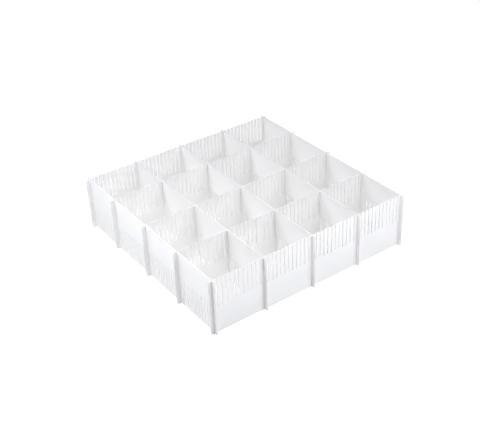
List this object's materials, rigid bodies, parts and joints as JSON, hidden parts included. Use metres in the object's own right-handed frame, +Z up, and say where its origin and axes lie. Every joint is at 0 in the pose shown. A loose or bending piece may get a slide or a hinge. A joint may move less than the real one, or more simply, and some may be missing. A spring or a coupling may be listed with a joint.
{
  "type": "drawer organizer insert",
  "caption": "Egg-crate drawer divider: flat plastic strips with combs of half-depth slots lock edge to edge into a square grid of open cells.",
  "frame": {"origin": "centre of the grid's outline, on the surface that it stands on", "axes": "+Z up, the way the cross strips lift out; +X along the base strips, whose slots open upward; +Y along the cross strips, from the front of the grid to the back"},
  "size_m": [0.28, 0.28, 0.07],
  "materials": {
    "white_polypropylene": "moulded white polypropylene, satin, very slightly translucent"
  },
  "bodies": {
    "base_strips": {"base_strip_1": "white_polypropylene", "base_strip_2": "white_polypropylene", "base_strip_3": "white_polypropylene", "base_strip_4": "white_polypropylene", "base_strip_5": "white_polypropylene"},
    "cross_strip_1": {"cross_strip_1": "white_polypropylene"},
    "cross_strip_2": {"cross_strip_2": "white_polypropylene"},
    "cross_strip_3": {"cross_strip_3": "white_polypropylene"},
    "cross_strip_4": {"cross_strip_4": "white_polypropylene"},
    "cross_strip_5": {"cross_strip_5": "white_polypropylene"}
  },
  "joints": [
    {"name": "cross_strip_1_lift", "type": "slide", "parent": "base_strips", "child": "cross_strip_1", "axis": [0, 0, 1], "range_m": [0, 0.075]},
    {"name": "cross_strip_2_lift", "type": "slide", "parent": "base_strips", "child": "cross_strip_2", "axis": [0, 0, 1], "range_m": [0, 0.075]},
    {"name": "cross_strip_3_lift", "type": "slide", "parent": "base_strips", "child": "cross_strip_3", "axis": [0, 0, 1], "range_m": [0, 0.075]},
    {"name": "cross_strip_4_lift", "type": "slide", "parent": "base_strips", "child": "cross_strip_4", "axis": [0, 0, 1], "range_m": [0, 0.075]},
    {"name": "cross_strip_5_lift", "type": "slide", "parent": "base_strips", "child": "cross_strip_5", "axis": [0, 0, 1], "range_m": [0, 0.075]}
  ]
}
